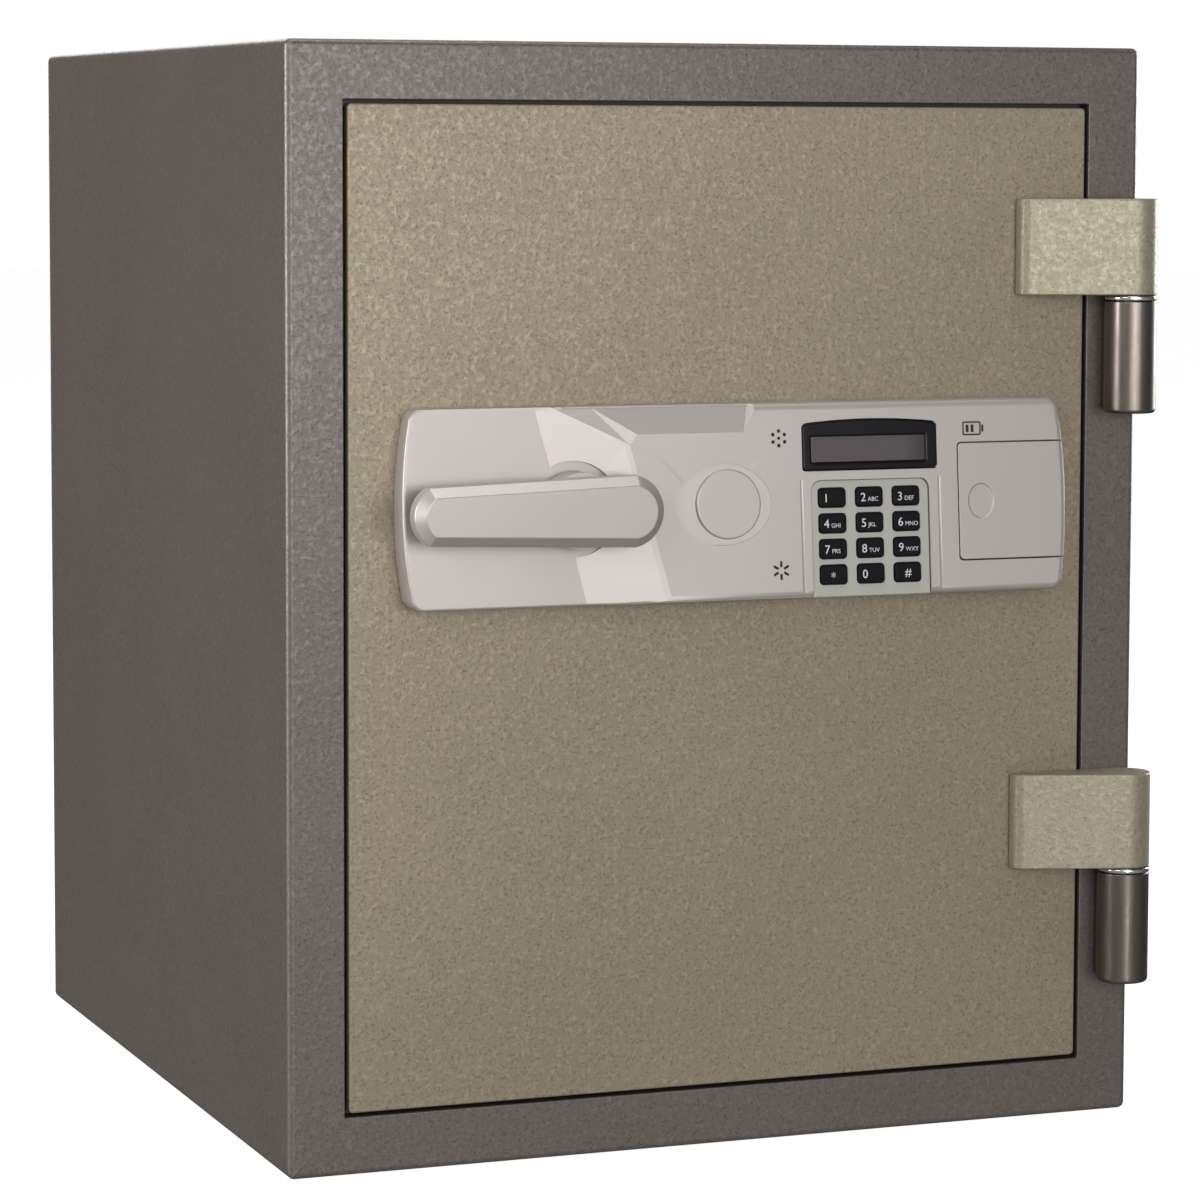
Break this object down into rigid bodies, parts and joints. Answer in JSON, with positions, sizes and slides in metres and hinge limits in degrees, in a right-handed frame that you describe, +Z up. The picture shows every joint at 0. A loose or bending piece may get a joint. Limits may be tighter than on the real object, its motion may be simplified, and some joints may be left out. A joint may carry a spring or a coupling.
{
  "type": "in room safe",
  "caption": "Free-standing fire-resisting room safe with a hinged plug door, lever handle, keypad lock panel and emergency key lock.",
  "frame": {"origin": "centre of the underside of the case, midway between its sides and between its front and back", "axes": "+Z up, the door faces -Y, +X to the right when facing the door, so the hinges are at +X"},
  "size_m": [0.4327, 0.49, 0.52],
  "materials": {
    "case_paint": "satin",
    "door_paint": "satin",
    "liner_paint": "satin",
    "filling": "matte",
    "barrel_steel": "satin",
    "steel": "satin",
    "chrome": "polished",
    "brass": "satin",
    "panel_plastic": "satin",
    "handle_metal": "satin",
    "keypad_plastic": "satin",
    "key_rubber": "matte",
    "black_rubber": "matte",
    "bezel_plastic": "gloss",
    "display_glass": "gloss",
    "circuit": "satin",
    "cell": "satin"
  },
  "bodies": {
    "cabinet": {"outer_case": "case_paint", "back_panel": "case_paint", "door_jamb": "case_paint", "fire_filling": "filling", "inner_liner": "liner_paint", "shelf": "liner_paint", "anchor_plug_left": "black_rubber", "anchor_plug_right": "black_rubber", "hinge_barrel_lower": "barrel_steel", "hinge_barrel_upper": "barrel_steel", "hinge_pin_lower": "steel", "hinge_pin_upper": "steel", "hinge_washer_lower": "chrome", "hinge_washer_upper": "chrome"},
    "door": {"door_face": "door_paint", "door_seal": "black_rubber", "door_tray": "door_paint", "door_filling": "filling", "inner_cover": "liner_paint", "bolt_chassis": "steel", "hinge_block_lower": "door_paint", "hinge_block_upper": "door_paint", "dead_bolt_lower": "steel", "dead_bolt_upper": "steel", "solenoid_body": "steel", "lock_panel": "panel_plastic", "key_cylinder": "brass", "circuit_board": "circuit", "key_mat": "black_rubber", "keypad_plate": "keypad_plastic", "display_bezel": "bezel_plastic", "display_window": "display_glass", "battery_1": "cell", "battery_2": "cell", "battery_3": "cell", "battery_4": "cell"},
    "handle": {"handle": "handle_metal", "hub_collar": "panel_plastic", "spindle": "steel", "handle_cam": "steel"},
    "bolt_work": {"bolt_carriage": "steel", "live_bolt_1": "chrome", "live_bolt_2": "chrome", "live_bolt_3": "chrome"},
    "key_lock": {"key_plug": "brass"},
    "release": {"solenoid_plunger": "chrome"},
    "cap": {"key_cap": "panel_plastic"},
    "battery_cover": {"battery_cover": "panel_plastic"},
    "button_1": {"key_1": "key_rubber"},
    "button_2": {"key_2": "key_rubber"},
    "button_3": {"key_3": "key_rubber"},
    "button_4": {"key_4": "key_rubber"},
    "button_5": {"key_5": "key_rubber"},
    "button_6": {"key_6": "key_rubber"},
    "button_7": {"key_7": "key_rubber"},
    "button_8": {"key_8": "key_rubber"},
    "button_9": {"key_9": "key_rubber"},
    "button_star": {"key_star": "key_rubber"},
    "button_0": {"key_0": "key_rubber"},
    "button_hash": {"key_hash": "key_rubber"}
  },
  "joints": [
    {"name": "door_swing", "type": "hinge", "parent": "cabinet", "child": "door", "pos_m": [0.205, -0.238, 0], "axis": [0, 0, 1], "range_deg": [0, 120]},
    {"name": "handle_turn", "type": "hinge", "parent": "door", "child": "handle", "pos_m": [-0.0825, -0.225, 0.306], "axis": [0, -1, 0], "range_deg": [0, 90]},
    {"name": "bolt_throw", "type": "slide", "parent": "door", "child": "bolt_work", "axis": [-1, 0, 0], "range_m": [0, 0.016]},
    {"name": "key_turn", "type": "hinge", "parent": "door", "child": "key_lock", "pos_m": [-0.0067, -0.225, 0.3065], "axis": [0, -1, 0], "range_deg": [0, 90]},
    {"name": "plunger_lift", "type": "slide", "parent": "door", "child": "release", "axis": [0, 0, 1], "range_m": [0, 0.005]},
    {"name": "cap_pull", "type": "slide", "parent": "door", "child": "cap", "axis": [0, -1, 0], "range_m": [0, 0.02]},
    {"name": "battery_cover_slide", "type": "slide", "parent": "door", "child": "battery_cover", "axis": [1, 0, 0], "range_m": [0, 0.038]},
    {"name": "keypad_press_1", "type": "slide", "parent": "door", "child": "button_1", "axis": [0, 1, 0], "range_m": [0, 0.0012], "stiffness_N_per_m": 400},
    {"name": "keypad_press_2", "type": "slide", "parent": "door", "child": "button_2", "axis": [0, 1, 0], "range_m": [0, 0.0012], "stiffness_N_per_m": 400},
    {"name": "keypad_press_3", "type": "slide", "parent": "door", "child": "button_3", "axis": [0, 1, 0], "range_m": [0, 0.0012], "stiffness_N_per_m": 400},
    {"name": "keypad_press_4", "type": "slide", "parent": "door", "child": "button_4", "axis": [0, 1, 0], "range_m": [0, 0.0012], "stiffness_N_per_m": 400},
    {"name": "keypad_press_5", "type": "slide", "parent": "door", "child": "button_5", "axis": [0, 1, 0], "range_m": [0, 0.0012], "stiffness_N_per_m": 400},
    {"name": "keypad_press_6", "type": "slide", "parent": "door", "child": "button_6", "axis": [0, 1, 0], "range_m": [0, 0.0012], "stiffness_N_per_m": 400},
    {"name": "keypad_press_7", "type": "slide", "parent": "door", "child": "button_7", "axis": [0, 1, 0], "range_m": [0, 0.0012], "stiffness_N_per_m": 400},
    {"name": "keypad_press_8", "type": "slide", "parent": "door", "child": "button_8", "axis": [0, 1, 0], "range_m": [0, 0.0012], "stiffness_N_per_m": 400},
    {"name": "keypad_press_9", "type": "slide", "parent": "door", "child": "button_9", "axis": [0, 1, 0], "range_m": [0, 0.0012], "stiffness_N_per_m": 400},
    {"name": "keypad_press_star", "type": "slide", "parent": "door", "child": "button_star", "axis": [0, 1, 0], "range_m": [0, 0.0012], "stiffness_N_per_m": 400},
    {"name": "keypad_press_0", "type": "slide", "parent": "door", "child": "button_0", "axis": [0, 1, 0], "range_m": [0, 0.0012], "stiffness_N_per_m": 400},
    {"name": "keypad_press_hash", "type": "slide", "parent": "door", "child": "button_hash", "axis": [0, 1, 0], "range_m": [0, 0.0012], "stiffness_N_per_m": 400}
  ],
  "couplings": [
    {"joint": "bolt_throw", "follows": "handle_turn", "m_per_rad": 0.01018},
    {"joint": "key_turn", "follows": "plunger_lift", "rad_per_m": 314}
  ]
}
